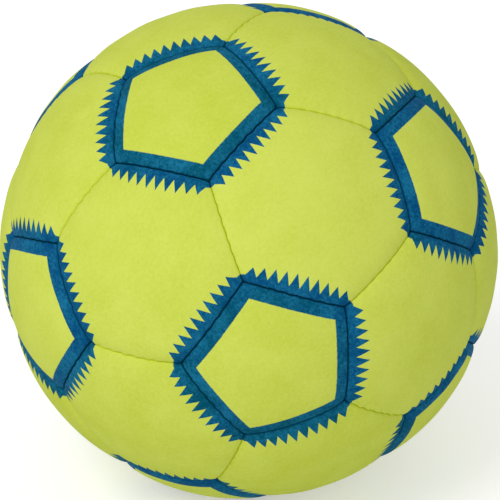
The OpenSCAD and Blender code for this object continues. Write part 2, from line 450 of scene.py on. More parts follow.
def polygon(sides, stations):
    """A panel's outline on the plane one unit from the ball's centre, where seams are straight.

    Gives the stations of a side from -1 to 1, the normals and tangents of the sides, and the heading and the distance
    from the middle of every point of the outline.
    """
    spin = 2 * math.pi * np.arange(sides) / sides
    normal = np.stack([np.cos(spin), np.sin(spin)], axis=1)
    tangent = np.stack([-normal[:, 1], normal[:, 0]], axis=1)
    step = np.linspace(-1, 1, stations, endpoint=False)
    aside = np.tile(step, sides)[:, None] * math.tan(math.pi / sides)
    outline = np.repeat(normal, stations, axis=0) + aside * np.repeat(tangent, stations, axis=0)
    reach = np.linalg.norm(outline, axis=1)
    return step, normal, tangent, outline / reach[:, None], reach * math.tan(seam_tilt(sides))


def share_length(sides, cover):
    """Length on the ball of the whole way from a panel's middle to its outline, as measured square to a seam."""
    tilt = seam_tilt(sides)
    return ball_radius(cover) * math.cos(tilt) ** 2 * math.tan(tilt)


def outward(flat):
    """Directions from the ball's centre through points of the plane one unit from it."""
    return unit(np.concatenate([flat, np.ones(flat.shape[:-1] + (1,))], axis=-1))


def on_dome(out, centre, radius):
    """Distance from the ball's centre, along each direction, to a sphere centred this far up the panel's axis."""
    lift = out[..., 2]
    return centre * lift + np.sqrt(radius**2 - centre**2 * (1 - lift**2))


def waves(points, seed, wavelength, kinds):
    """Smooth unevenness: sums of sine waves in fixed random directions, one column per kind, about -1 to 1."""
    draw = np.random.default_rng(seed)
    total = np.zeros(points.shape[:-1] + (kinds,))
    for kind in range(kinds):
        heading = unit(draw.normal(size=(WAVES, 3))) * 2 * math.pi / wavelength
        heading *= draw.uniform(*WAVE_SPREAD, size=(WAVES, 1))
        phase = draw.uniform(0, 2 * math.pi, WAVES)
        total[..., kind] = np.sin(points @ heading.T + phase).mean(axis=-1)
    return total * WAVE_GAIN


def wander(points, cover):
    """How far the cover is drawn off its true lines in each direction: waves on the ball, nought round the valve."""
    valve_axis = hexagon_axes()[VALVE_PANEL]
    out = unit(points)
    points = out * ball_radius(cover)
    push = waves(points, WANDER_SEED, cover.wander_length, 3)
    push -= (push * out).sum(axis=-1, keepdims=True) * out
    off_axis = np.linalg.norm(np.cross(points, valve_axis), axis=-1)
    free = np.clip((off_axis - cover.still) / cover.still_fade, 0, 1)
    free = np.where((points @ valve_axis) > 0, free, 1.0)[..., None]
    return push * free * cover.wander


def seam_hold(radius, cover):
    """Share of the straying that is left inside a seam, nought at the ends of the turned-in felt."""
    return np.clip((radius - tip_radius(cover)) / cover.hold, 0, 1)


def half_seam_length(cover):
    """Half the straight length of a seam, from corner to corner."""
    return corner_radius(cover) * math.sin(SEAM_ANGLE / 2)


def stitching(true, along, tangents, cover, stitches):
    """A cosine along each seam, made uneven by waves: about 1 at a stitch and -1 between two."""
    uneven = waves(true, STITCH_SEED, cover.stitch_spread, 2)
    along = along + cover.stitch_stray * np.sign(tangents @ STITCH_SIDE) * uneven[..., :1]
    sewn = np.cos(math.pi * stitches * along / half_seam_length(cover))
    return sewn * (1 + STITCH_UNEVENNESS * uneven[..., 1:])


def scallop(sewn, along, across, cover):
    """How far the stitches draw each seam aside, nought at its corners, always to the side of one fixed direction."""
    window = np.clip(1 - (along / half_seam_length(cover)) ** 2, 0, None)
    return cover.scallop * (sewn * window) @ (across * np.sign(across @ STITCH_SIDE)[..., None])


def panel_profile(sides, cover, slit, hole):
    """Profile of a felt panel, as shares of the way from its middle, or the rim of the valve hole, to its outline.

    It goes over the dome and the rolled edge, where a sine spaces the stations, down the wall of the seam, round the
    turned-in end, up its inner side and back under the dome. Also gives how many of its stations lie outside.
    """
    span = share_length(sides, cover)
    roll = np.linspace(0, math.pi / 2, ROLL_RINGS)[:, None]
    roll_share = 1 - (slit + cover.roll_width * (1 - np.sin(roll))) / span
    rings = np.linspace(0, 1, DOME_RINGS, endpoint=False)[1:]
    if hole:
        rings = np.concatenate([np.linspace(0, rings[0], RIM_RINGS, endpoint=False), rings])
    dome_share = rings[:, None] * roll_share[0]
    gap = cover.seam_gap / 2
    inward = np.array([gap, gap, gap + cover.felt_thickness, gap + cover.felt_thickness])
    wall_share = np.repeat(1 - inward[:, None] / span, len(slit), axis=1)
    inner_share = np.linspace(1, 0, INNER_RINGS + 1)[1 : INNER_RINGS + (1 if hole else 0), None] * wall_share[-1]
    return np.concatenate([dome_share, roll_share, wall_share, inner_share]), len(dome_share) + ROLL_RINGS


def seam_drop(to_seam, slits, sewn, cover):
    """How far the felt lies below its dome beside the seams, and how far round the rolled edge it is, nought to one.

    The drop is a quarter ellipse at the rolled edge, an exponential shoulder and a pucker at each stitch. At a corner
    the two rolls add as the sides of a right triangle do.
    """
    bend = np.clip((slits + cover.roll_width - to_seam) / cover.roll_width, 0, None)
    bend = np.sqrt((bend**2).sum(axis=-1))
    rolled = np.minimum(bend, 1)
    drop = cover.roll_depth * (1 - np.sqrt(1 - rolled**2))
    drop += cover.roll_depth * CORNER_PULL * np.maximum(bend - 1, 0)
    drop += cover.shoulder_drop * np.exp(-to_seam / cover.shoulder_reach).sum(axis=-1)
    nearest = to_seam.argmin(axis=-1)[..., None]
    near, stitch = (np.take_along_axis(v, nearest, -1)[..., 0] for v in (to_seam, sewn))
    drop += cover.pucker_depth * np.exp(-near / cover.pucker_reach) * (0.5 + 0.5 * stitch)
    return drop, rolled


def print_lines(sides, to_seam, along, cover):
    """Distance from the nearest seam round a pentagon, below nought inside it, and the place along that seam.

    Past a seam's end the distance is that from its corner. The place is -1 and 1 at the corners.
    """
    if sides == PENT:
        ring = -to_seam.min(axis=-1)
        return ring, np.zeros_like(ring)
    half_seam = half_seam_length(cover)
    run = along[..., ::2]
    away = np.hypot(to_seam[..., ::2], np.maximum(np.abs(run) - half_seam, 0))
    nearest = away.argmin(axis=-1)[..., None]
    ring, run = (np.take_along_axis(v, nearest, -1)[..., 0] for v in (away, run))
    return ring, run / half_seam


def panel_surface(sides, turn, cover, stitches, hole):
    """One felt panel as a closed grid: profile stations by stations round the edge, with its print lines.

    The outline is a regular polygon on the plane one unit from the ball's centre. Seen along its direction, a point
    of the outside lies on the dome sphere, less the drop beside the seams, an exponential drop at the valve hole and
    sums of waves for lumps. The stitches draw the line of a seam aside, less and less away from it, and the whole
    cover strays by sums of waves.
    """
    tilt = seam_tilt(sides)
    centre, dome_r = dome(sides, cover)
    ball = ball_radius(cover)
    tip = tip_radius(cover)
    step, normal, tangent, heading, reach = polygon(sides, SIDE_STATIONS)

    ringed = np.arange(sides) % 2 == 0 if sides == HEX else np.ones(sides, bool)
    slits = np.where(ringed, cover.ring_slit, cover.lime_slit) / 2
    corner_slit = (cover.ring_slit + cover.lime_slit) / 4
    middling = (1 - np.abs(step) ** SLIT_EVENNESS)[None]
    slit = (corner_slit + (slits[:, None] - corner_slit) * middling).ravel()
    share, foot = panel_profile(sides, cover, slit, hole)

    mouth = hole / ball
    flat = heading * ((1 - share) * mouth + share * reach)[..., None]
    out = outward(flat)
    skin = on_dome(out, centre, dome_r)
    to_seam = skin[..., None] * math.cos(tilt) * (math.tan(tilt) * out[..., 2:] - out[..., :2] @ normal.T)
    along = skin[..., None] * (out[..., :2] @ tangent.T)
    true = (out * ball) @ turn.T
    sewn = stitching(true, along, np.pad(tangent, ((0, 0), (0, 1))) @ turn.T, cover, stitches)

    # The share of the way round the rolled edge also sets where the felt's material paints shade into the seam's
    # groove
    drop, crease = seam_drop(to_seam, slits, sewn, cover)
    if hole:
        rim = np.linalg.norm(flat, axis=-1) * ball - hole
        drop += cover.rim_drop * np.exp(-np.maximum(rim, 0) / cover.rim_reach)
    drop -= cover.lump * waves(true, LUMP_SEED, cover.lump_length, 1)[..., 0]
    radius = skin - drop
    radius[foot] = np.maximum(radius[foot - 1] - cover.foot, tip + cover.tip_round)
    radius[foot + 1 : foot + 3] = tip
    lining = on_dome(out, centre, dome_r - cover.felt_thickness)
    radius[foot + 3 :] = lining[foot + 3 :]

    across = np.pad(normal * math.cos(tilt), ((0, 0), (0, 1)), constant_values=-math.sin(tilt)) @ turn.T
    pull = scallop(sewn * np.exp(-np.abs(to_seam) / cover.scallop_reach), along, across, cover)
    points = (out * radius[..., None]) @ turn.T
    loose = np.ones_like(radius)
    loose[foot] = seam_hold(radius[foot], cover)
    loose[foot + 1 :] = 0
    points += (wander(points, cover) + pull) * loose[..., None]

    ring, place_on_ring = print_lines(sides, to_seam, along, cover)
    axis = turn[:, 2]
    crown = axis * (ball + cover.lump * waves(axis * ball, LUMP_SEED, cover.lump_length, 1)) + wander(axis, cover)
    poles = [] if hole else [crown, axis * (ball - cover.felt_thickness)]
    return points, poles, {"ring_distance": ring, "ring_along": place_on_ring, "crease": crease}


def grid_faces(rings, around, closed, poles):
    """Loop and start arrays of a grid that closes round its rings: quads, then a fan of triangles at each pole."""
    last = rings if closed else rings - 1
    r, c = np.meshgrid(np.arange(last), np.arange(around), indexing="ij")
    r2, c2 = (r + 1) % rings, (c + 1) % around
    r, r2 = r * around, r2 * around
    quads = np.stack([r + c, r2 + c, r2 + c2, r + c2], axis=-1).reshape(-1, 4)
    fans = np.zeros((0, 3), int)
    if poles:
        c = np.arange(around)
        n = (c + 1) % around
        first = np.stack([np.full(around, rings * around), c, n], axis=-1)
        end = (rings - 1) * around
        final = np.stack([np.full(around, rings * around + 1), end + n, end + c], axis=-1)
        fans = np.concatenate([first, final])
    loops = np.concatenate([quads.ravel(), fans.ravel()])
    starts = np.concatenate([np.arange(len(quads)) * 4, len(quads) * 4 + np.arange(len(fans)) * 3])
    return loops, starts


def with_poles(points, poles, hole):
    """A grid's points and poles as one list, with its loops and starts."""
    whole = np.concatenate([points.reshape(-1, 3), np.reshape(poles, (-1, 3))])
    return whole, *grid_faces(*points.shape[:2], bool(hole), bool(poles))


def make_piece(name, points, loops, starts, material, slot, node, attributes=None):
    """Puts arrays into a smooth mesh at the origin, parents it to its body and hides the CAD node that it stands for.
    The slot is not used.
    """
    mesh = bpy.data.meshes.new(name)
    mesh.vertices.add(len(points))
    mesh.vertices.foreach_set("co", np.ascontiguousarray(points, np.float32).ravel())
    mesh.loops.add(len(loops))
    mesh.loops.foreach_set("vertex_index", loops.astype(np.int32))
    mesh.polygons.add(len(starts))
    mesh.polygons.foreach_set("loop_start", starts.astype(np.int32))
    mesh.polygons.foreach_set("use_smooth", np.ones(len(starts), bool))
    mesh.update(calc_edges=True)
    if mesh.validate():
        raise RuntimeError(f"{name} has faces that don't hold together")
    for key, values in (attributes or {}).items():
        layer = mesh.attributes.new(key, "FLOAT", "POINT")
        layer.data.foreach_set("value", np.ascontiguousarray(values, np.float32).ravel())
    mesh.materials.append(material)
    piece = bpy.data.objects.new(name, mesh)
    bpy.context.scene.collection.objects.link(piece)
    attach(piece, BODY)
    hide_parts(node)


def make_panels(context, sides, kind):
    """All panels of one kind, each with its own slight tone of felt."""
    cover = context.scene.ball_cover
    valve = context.scene.ball_valve
    stitches = context.scene.ball_thread.stitches
    material = felt_material(context)
    aims = panel_aims(sides)
    tones = np.random.default_rng(TONE_SEED + sides).uniform(0, 1, len(aims))
    at_poles = {"ring_distance": -1.0 if sides == PENT else 1.0, "ring_along": 0.0, "crease": 0.0}
    for i, turn in enumerate(aims):
        hole = valve_hole(valve, sides, i)
        points, poles, lines = panel_surface(sides, turn, cover, stitches, hole)
        whole, loops, starts = with_poles(points, poles, hole)
        marks = {key: np.append(v, [at_poles[key]] * len(poles)) for key, v in lines.items()}
        marks["panel_tone"] = np.full(len(whole), tones[i])
        name, node = (f"{kind}_{word}_{i + 1:02d}" for word in ("felt", "panel"))
        make_piece(name, whole, loops, starts, material, "felt", node, marks)


def pad_surface(sides, cover, inner, hole):
    """The cloth layers of one panel as a closed grid in the panel's own frame, and its poles where it has no hole.

    The top is the felt's lining lowered by the bond, and the bottom the sphere on which the turned-in felt ends.
    Between them the edge of each layer swells out as half a sine wave. Round the valve's hole the bottom steps up for
    the patch.
    """
    heading, reach = polygon(sides, PAD_STATIONS)[3:]
    centre, dome_r = dome(sides, cover)
    tip = tip_radius(cover)
    span = share_length(sides, cover)
    edge = 1 - (cover.seam_gap / 2 + cover.felt_thickness + inner.bond) / span
    nip = edge - inner.ply_swell / span
    mouth = hole / math.sqrt(tip**2 - hole**2)
    even = np.zeros_like(reach)

    top = np.linspace(even, even + nip, PAD_RINGS)[0 if hole else 1 :]
    fall = np.linspace(0, 1, inner.plies * PLY_STEPS + 1)[1:-1, None]
    rim = nip + (edge - nip) * np.abs(np.sin(math.pi * inner.plies * fall)) + even
    base = np.linspace(even + nip, even, PAD_RINGS)[: None if hole else -1]
    step_up = np.zeros((len(base), 1))
    if hole:
        patch = inner.patch / 2 + inner.bond
        ring = (patch / math.sqrt(tip**2 - patch**2) - mouth) / (reach - mouth)
        base = np.concatenate([np.linspace(even + nip, ring, PAD_RINGS), np.linspace(ring, even, PAD_RINGS)])
        step_up = np.repeat([[0.0], [inner.patch_thickness + inner.bond]], PAD_RINGS, axis=0)

    share = np.concatenate([top, rim, base])
    out = outward(heading * ((1 - share) * mouth + share * reach)[..., None])
    radius = on_dome(out, centre, dome_r - cover.felt_thickness - inner.bond)
    rim_end = len(top) + len(rim)
    radius[len(top) : rim_end] = radius[len(top) - 1] * (1 - fall) + tip * fall
    radius[rim_end:] = tip + step_up
    crown = centre + dome_r - cover.felt_thickness - inner.bond
    return out * radius[..., None], [] if hole else [(0, 0, crown), (0, 0, tip)]


def make_pads(context, sides, kind, material):
    """The cloth layers behind all panels of one kind as one piece, with the way of its threads."""
    cover = context.scene.ball_cover
    valve = context.scene.ball_valve
    grids = []
    threads = []
    for i, turn in enumerate(panel_aims(sides)):
        hole = valve_hole(valve, sides, i)
        points, poles = pad_surface(sides, cover, context.scene.ball_inner, hole)
        local, loops, starts = with_poles(points, poles, hole)
        grids.append((local @ turn.T, loops, starts))
        threads.append(local[:, :2])
    warp, weft = np.concatenate(threads).T
    marks = {"warp": warp, "weft": weft}
    make_piece(f"{kind}_cloth", *join(grids), material, "backing_cloth", f"{kind}_backings", marks)


def join(grids):
    """Joins grids, each with its points, loops and starts, into one."""
    points_before = np.cumsum([0] + [len(points) for points, _, _ in grids])
    loops_before = np.cumsum([0] + [len(loops) for _, loops, _ in grids])
    points = np.concatenate([points for points, _, _ in grids])
    loops = np.concatenate([loops + n for (_, loops, _), n in zip(grids, points_before)])
    starts = np.concatenate([starts + n for (_, _, starts), n in zip(grids, loops_before)])
    return points, loops, starts


def seam_frames(pairs, sides):
    """One rotation per seam: z on the seam's middle, x square across it, towards the second panel of the pair."""
    tilt = seam_tilt(sides)
    middles = [aim(a, b) @ (math.sin(tilt), 0, math.cos(tilt)) for a, b in pairs]
    return [aim(middle, b) for middle, (_, b) in zip(middles, pairs)]


def thread_surface(seams, cover, thread):
    """Thread along a group of seams: a circle carried along each seam's arc, rising and falling once per stitch.

    At both ends it dives by a high power of its place and narrows to a point. It strays as the felt beside it does.
    Also gives the stations along it and round it, and their distance from the nearest corner of the seam.
    """
    radius = corner_radius(cover) - thread.depth
    half = SEAM_ANGLE / 2 - thread.bare_end / radius
    s = np.linspace(-1, 1, THREAD_STATIONS)
    swing = half * s
    lift = thread.lift * np.cos(math.pi * thread.stitches * s) - thread.dive * np.abs(s) ** END_LEVELNESS
    thick = thread.diameter / 2 * np.maximum(np.sqrt(1 - np.abs(s) ** END_ROUNDNESS), THREAD_POINT)
    line = np.stack([np.zeros_like(s), np.sin(swing), np.cos(swing)], axis=-1)
    spin = np.linspace(0, 2 * math.pi, THREAD_SIDES, endpoint=False)
    tube = line[:, None] * ((radius + lift)[:, None] + thick[:, None] * np.sin(spin))[..., None]
    tube[..., 0] += thick[:, None] * np.cos(spin)
    along = np.broadcast_to((corner_radius(cover) * np.sin(swing))[:, None, None], tube.shape[:2] + (1,))
    loose = seam_hold(np.linalg.norm(tube, axis=-1, keepdims=True), cover)
    whole = []
    for turn in seams:
        points = tube @ turn.T
        across, tangent = turn.T[:1], turn.T[1:2]
        sewn = stitching(unit(points) * ball_radius(cover), along, tangent, cover, thread.stitches)
        whole.append(points + (wander(points, cover) + scallop(sewn, along, across, cover)) * loose)
    return whole, s, spin, ball_radius(cover) * (SEAM_ANGLE / 2 - np.abs(swing))


def make_threads(context, name, pairs, sides, node, tint):
    """The threads of one group of seams as one piece. The first panel of each pair has this many sides."""
    thread = context.scene.ball_thread
    tubes, s, spin, from_corner = thread_surface(seam_frames(pairs, sides), context.scene.ball_cover, thread)
    rings, around = len(s), len(spin)
    loops, starts = grid_faces(rings, around, False, False)
    caps = np.concatenate([np.arange(around), (rings - 1) * around + np.arange(around)[::-1]])
    starts = np.concatenate([starts, len(loops) + np.array([0, around])])
    loops = np.concatenate([loops, caps])
    lay = s[:, None] * thread.twist + spin / (2 * math.pi)
    marks = {"lay": lay, "ring_distance": np.broadcast_to(from_corner[:, None], lay.shape)}
    marks = {key: np.tile(values.ravel(), len(tubes)) for key, values in marks.items()}
    grid = join([(tube.reshape(-1, 3), loops, starts) for tube in tubes])
    make_piece(name, *grid, thread_material(context, name, tint), "seam_thread", node, marks)


def rounded(corners, radius):
    """A closed profile of straight lines whose corners, except on the axis, become curves of about this radius.

    A curve is a quadratic one: the corner draws a point that goes from one line to the next.
    """
    corners = np.asarray(corners, float)
    before = np.roll(corners, 1, axis=0) - corners
    after = np.roll(corners, -1, axis=0) - corners
    room = CORNER_SHARE * np.minimum(np.linalg.norm(before, axis=1), np.linalg.norm(after, axis=1))
    cut = (np.minimum(radius, room) * (corners[:, 0] > 0))[:, None]
    corner, start, end = (p[:, None] for p in (corners, corners + unit(before) * cut, corners + unit(after) * cut))
    t = np.linspace(0, 1, CORNER_STEPS)[:, None]
    return (start * (1 - t) ** 2 + 2 * corner * t * (1 - t) + end * t**2).reshape(-1, 2)


def make_turned(name, profile, material, slot, node, woven=False):
    """A piece made by carrying a profile, distance from the axis and height, round the valve's axis.

    The profile is listed clockwise. It is closed, or starts and ends on the axis, where the piece gets its poles.
    """
    on_axis = profile[:, 0] == 0
    rim = profile[~on_axis]
    poles = profile[on_axis][[0, -1]] if on_axis.any() else np.zeros((0, 2))
    spin = np.linspace(0, 2 * math.pi, REVOLVE_STATIONS, endpoint=False)
    across = rim[:, :1] * np.cos(spin)
    aside = rim[:, :1] * np.sin(spin)
    height = np.repeat(rim[:, 1:], len(spin), axis=1)
    local = np.stack([across, aside, height], axis=-1).reshape(-1, 3)
    local = np.concatenate([local, np.pad(poles, ((0, 0), (1, 0)))])
    loops, starts = grid_faces(len(rim), len(spin), not len(poles), len(poles))
    marks = {"warp": local[:, 0], "weft": local[:, 1]} if woven else {}
    make_piece(name, local @ valve_turn().T, loops, starts, material, slot, node, marks)


def arc(sphere, first, last):
    """Points on a sphere about the ball's centre, from one distance off the valve's axis to another."""
    off = np.linspace(first, last, ARC_STATIONS)
    return np.stack([off, np.sqrt(sphere**2 - off**2)], axis=-1)


def bladder_profile(outside, inside, hole, inner):
    """A thin ball's profile: from the pole opposite its hole up the inside, through the hole and down the outside.

    Both are circles about the ball's centre. Halfway down the outside a bell curve is the line where the moulds met.
    """
    line = PARTING_SPAN * inner.parting_width / outside
    past_hole = math.asin(hole / inside) + line
    above = np.linspace(past_hole, math.pi / 2 - line, SHELL_STATIONS // 2, endpoint=False)
    moulded = math.pi / 2 + np.linspace(-line, line, PARTING_STATIONS)
    below = np.linspace(math.pi, math.pi / 2 + line, SHELL_STATIONS // 2, endpoint=False)[:0:-1]
    down = np.concatenate([above, moulded, below])
    half_widths = (down - math.pi / 2) * 2 * PARTING_SPAN / line
    ridge = inner.parting_height * np.exp(-(half_widths**2))
    way = np.stack([np.sin(down), np.cos(down)], axis=-1)
    hole_inside = (hole, math.sqrt(inside**2 - hole**2))
    hole_outside = (hole, math.sqrt(outside**2 - hole**2))
    outer = way * (outside + ridge)[:, None]
    return np.concatenate([[(0, -inside)], way[::-1] * inside, [hole_inside, hole_outside], outer, [(0, -outside)]])


# Materials


def add(tree, kind, inputs=None, **settings):
    """Adds a node, sets its options, and feeds its inputs from sockets or plain values."""
    node = tree.nodes.new("ShaderNode" + kind)
    for key, value in settings.items():
        setattr(node, key, value)
    for key, value in (inputs or {}).items():
        if isinstance(value, bpy.types.NodeSocket):
            tree.links.new(value, node.inputs[key])
        else:
            node.inputs[key].default_value = value
    return node


def calc(tree, operation, *values):
    """One Math node and its result."""
    return add(tree, "Math", dict(enumerate(values)), operation=operation).outputs[0]


def mixture(tree, first, first_share, second, second_share):
    """Two values added, each by its own share."""
    return calc(tree, "MULTIPLY_ADD", first, first_share, calc(tree, "MULTIPLY", second, second_share))


def blend(tree, factor, first, second):
    """Mixes two colours, given as sockets or as three numbers."""
    node = tree.nodes.new("ShaderNodeMix")
    node.data_type = "RGBA"
    for index, value in ((MIX_FACTOR, factor), (MIX_FIRST, first), (MIX_SECOND, second)):
        socket = node.inputs[index]
        if isinstance(value, bpy.types.NodeSocket):
            tree.links.new(value, socket)
        else:
            socket.default_value = (*value, 1) if socket.type == "RGBA" else value
    return node.outputs[MIX_COLOUR]


def mark(tree, name):
    """A number that each point of a piece carries."""
    return add(tree, "Attribute", attribute_name=name).outputs["Fac"]


def zigzag(tree, value):
    """Rises from nought to one and falls again within each whole step of a value."""
    return calc(tree, "MULTIPLY", calc(tree, "PINGPONG", value, 0.5), 2.0)


def ramp(tree, value, low, high, to_low=0.0, to_high=1.0):
    """Maps a value smoothly from one range to another."""
    inputs = {"Value": value, "From Min": low, "From Max": high, "To Min": to_low, "To Max": to_high}
    return add(tree, "MapRange", inputs, interpolation_type="SMOOTHSTEP").outputs["Result"]


def new_material(name):
    """An empty material with one Principled shader, which the caller feeds."""
    material = bpy.data.materials.new(name)
    material.use_nodes = True
    tree = material.node_tree
    tree.nodes.clear()
    shader = add(tree, "BsdfPrincipled")
    add(tree, "OutputMaterial", {"Surface": shader.outputs["BSDF"]})
    return material, tree, shader


def feed(tree, shader, base, height, strength, depth, roughness):
    """Feeds a shader with its colour, a bump of this strength and depth, and its roughness."""
    bump = add(tree, "Bump", {"Strength": strength, "Distance": depth, "Height": height}).outputs["Normal"]
    for name, value in (("Base Color", base), ("Normal", bump), ("Roughness", roughness)):
        tree.links.new(value, shader.inputs[name])


def straight(tree):
    """One where the camera, a reflection or glass sees a surface, nought where the surface only gives light."""
    seen = add(tree, "LightPath").outputs
    mirrored = calc(tree, "MAXIMUM", seen["Is Glossy Ray"], seen["Is Transmission Ray"])
    return calc(tree, "MAXIMUM", seen["Is Camera Ray"], mirrored)


def noise(tree, coords, size, detail=2.0, roughness=0.5, curl=0.0):
    """Noise on Object coordinates whose grains are about this size in metres, curled into fibres by a distortion."""
    inputs = {"Vector": coords, "Scale": 1 / size, "Detail": detail, "Roughness": roughness, "Distortion": curl}
    return add(tree, "TexNoise", inputs).outputs["Fac"]


def fibres(tree, coords, width, run):
    """Crossing fibres: the highest of three noises on Object coordinates, each drawn out along an axis of its own."""
    highest = 0.0
    for axis in range(3):
        stretch = [1 / width] * 3
        stretch[axis] = 1 / run
        turned = add(tree, "Mapping", {"Vector": coords, "Rotation": FIBRE_TURN, "Scale": stretch}).outputs["Vector"]
        strand = add(tree, "TexNoise", {"Vector": turned, "Scale": 1.0, "Detail": 1.0}).outputs["Fac"]
        highest = calc(tree, "MAXIMUM", highest, strand)
    return highest


def felt_material(context):
    """Needled felt: short nap, faint mottling, ink printed in a toothed ring round each pentagon, and painted shade
    in the groove beside each seam.
    """
    kept = bpy.data.materials.get("printed_felt")
    if kept:
        return kept
    finish = context.scene.ball_finishes
    sizes = context.scene.ball_print
    grain = context.scene.ball_grain
    material, tree, shader = new_material("printed_felt")
    coords = add(tree, "TexCoord").outputs["Object"]
    ring, along, tone, crease = (mark(tree, key) for key in ("ring_distance", "ring_along", "panel_tone", "crease"))

    uneven = calc(tree, "SUBTRACT", noise(tree, coords, grain.creep), 0.5)
    creep = calc(tree, "MULTIPLY", uneven, 2 * sizes.bleed)
    edge = calc(tree, "ADD", ring, creep)
    tooth = zigzag(tree, calc(tree, "MULTIPLY_ADD", along, sizes.teeth / 2, sizes.teeth / 2))
    within = calc(tree, "LESS_THAN", calc(tree, "ABSOLUTE", along), 1.0)
    taper = calc(tree, "MULTIPLY_ADD", calc(tree, "MULTIPLY", along, along), -sizes.taper, 1.0)
    swell = calc(tree, "MULTIPLY", taper, within)
    reach = calc(tree, "MULTIPLY_ADD", calc(tree, "MULTIPLY", tooth, swell), sizes.tooth_height, sizes.hexagon_band)
    outside = ramp(tree, calc(tree, "SUBTRACT", reach, edge), -sizes.edge, sizes.edge)
    inside = ramp(tree, calc(tree, "ADD", edge, sizes.pentagon_band), -sizes.edge, sizes.edge)
    ink = calc(tree, "MULTIPLY", outside, inside)

    cloudy = noise(tree, coords, grain.cloud, SOFT)
    blotchy = noise(tree, coords, grain.blotch, SOFT)
    tufts = noise(tree, coords, grain.tuft, RICH, RICH_ROUGHNESS, RICH_CURL)
    hairs = fibres(tree, coords, grain.hair_width, grain.hair_length)
    matted = mixture(tree, hairs, HAIRS, tufts, TUFTS)
    nap = calc(tree, "MULTIPLY_ADD", matted, MATTED, mixture(tree, cloudy, CLOUDS, tone, TONE))
    flecks = mixture(tree, matted, FLECKS, blotchy, BLOTCHES)
    lime = blend(tree, ramp(tree, nap, *SHADE_RANGE), finish.felt_deep, finish.felt)
    batch = mixture(tree, cloudy, INK_CLOUDS, tone, INK_TONE)
    hue = blend(tree, ramp(tree, batch, *HUE_RANGE), finish.ink, finish.ink_blue)
    blue = blend(tree, ramp(tree, flecks, *THIN_RANGE), hue, finish.ink_thin)
    # Painted shade: over the rolled edge into each seam the felt and the ink turn darker and more saturated
    groove_shade = blend(tree, ink, finish.felt_groove_shade, finish.ink_groove_shade)
    base = blend(tree, ramp(tree, crease, *CREASE_RANGE), blend(tree, ink, lime, blue), groove_shade)
    feed(tree, shader, base, matted, FELT_BUMP, grain.nap, ramp(tree, matted, *SHADE_RANGE, *FELT_ROUGHNESS))
    shader.inputs["Specular IOR Level"].default_value = FELT_GLOSS
    return material


def thread_material(context, name, tint):
    """Waxed two-ply thread: slanting plies with painted shade in the furrow between them, inked near the rings,
    softly glossy.
    """
    inked = context.scene.ball_finishes.blue_thread
    band = context.scene.ball_print.hexagon_band
    material, tree, shader = new_material(name)
    ring = mark(tree, "ring_distance")
    ply = zigzag(tree, mark(tree, "lay"))
    # Painted shade: the thread's colour darkens in the furrow between its plies
    furrow_shade = [c * THREAD_FURROW_SHADE for c in tint]
    strand = blend(tree, ramp(tree, ply, *PLY_RANGE), furrow_shade, tint)
    base = blend(tree, ramp(tree, ring, band, band * THREAD_INK), inked, strand)
    gloss = ramp(tree, ply, 0.0, 1.0, *THREAD_ROUGHNESS)
    feed(tree, shader, base, ply, THREAD_BUMP, context.scene.ball_grain.ply, gloss)
    return material


def cloth_material(context):
    """Plain-woven backing cloth: threads over and under each other along the piece's own two lengths, with slubs, and
    painted shade where the weave lies low.
    """
    grain = context.scene.ball_grain
    material, tree, shader = new_material("backing_weave")
    coords = add(tree, "TexCoord").outputs["Object"]
    crossing = []
    for way in ("warp", "weft"):
        crossing.append(calc(tree, "SINE", calc(tree, "MULTIPLY", mark(tree, way), 2 * math.pi / grain.weave)))
    slub = noise(tree, coords, grain.slub, SOFT)
    height = calc(tree, "MULTIPLY_ADD", calc(tree, "MULTIPLY", *crossing), WEAVE, slub)
    pale = context.scene.ball_finishes.cloth
    # Painted shade: the cloth's colour darkens where the weave and the slubs lie low
    furrow_shade = [c * CLOTH_FURROW_SHADE for c in pale]
    base = blend(tree, ramp(tree, height, *WEAVE_RANGE), furrow_shade, pale)
    feed(tree, shader, base, height, CLOTH_BUMP, grain.relief, ramp(tree, slub, *NOISE_RANGE, *CLOTH_ROUGHNESS))
    return material


def rubber_material(name, tint, grain_size, die_depth, roughness):
    """Moulded rubber: a fine die grain, a bloom of paler dust and a gloss that varies with it."""
    material, tree, shader = new_material(name)
    coords = add(tree, "TexCoord").outputs["Object"]
    grain = noise(tree, coords, grain_size, RICH, RICH_ROUGHNESS)
    bloom = noise(tree, coords, grain_size * BLOOM_SIZE, SOFT)
    pale = [min(1.0, c * BLOOM_GAIN + BLOOM_LIFT) for c in tint]
    base = blend(tree, ramp(tree, bloom, *BLOOM_RANGE), tint, pale)
    feed(tree, shader, base, grain, RUBBER_BUMP, die_depth, ramp(tree, bloom, *NOISE_RANGE, *roughness))
    return material


def floor_material(context):
    """Matt pale floor, lifted to white where the camera, a reflection or glass sees it, with its shadow kept."""
    stage = context.scene.ball_stage
    tint = context.scene.ball_finishes.floor
    material, tree, shader = new_material("pale_floor")
    coords = add(tree, "TexCoord").outputs["Object"]
    dust = noise(tree, coords, context.scene.ball_grain.dust, SOFT)
    worn = [c * FLOOR_DUST for c in tint]
    tree.links.new(blend(tree, ramp(tree, dust, *SHADE_RANGE), tint, worn), shader.inputs["Base Color"])
    shader.inputs["Roughness"].default_value = FLOOR_ROUGHNESS
    shader.inputs["Specular IOR Level"].default_value = 0.0
    away = add(tree, "VectorMath", {0: coords}, operation="LENGTH").outputs["Value"]
    glow = ramp(tree, away, stage.near, stage.far, stage.floor_glow, stage.far_glow)
    shader.inputs["Emission Color"].default_value = WHITE
    tree.links.new(calc(tree, "MULTIPLY", straight(tree), glow), shader.inputs["Emission Strength"])
    return material


# Operators


class BALL_OT_felt_hexagons(bpy.types.Operator):
    """Builds the twenty felt hexagons"""

    bl_idname = "ball.felt_hexagons"
    bl_label = "Felt hexagons"

    def execute(self, context):
        make_panels(context, HEX, "hexagon")
        return {"FINISHED"}


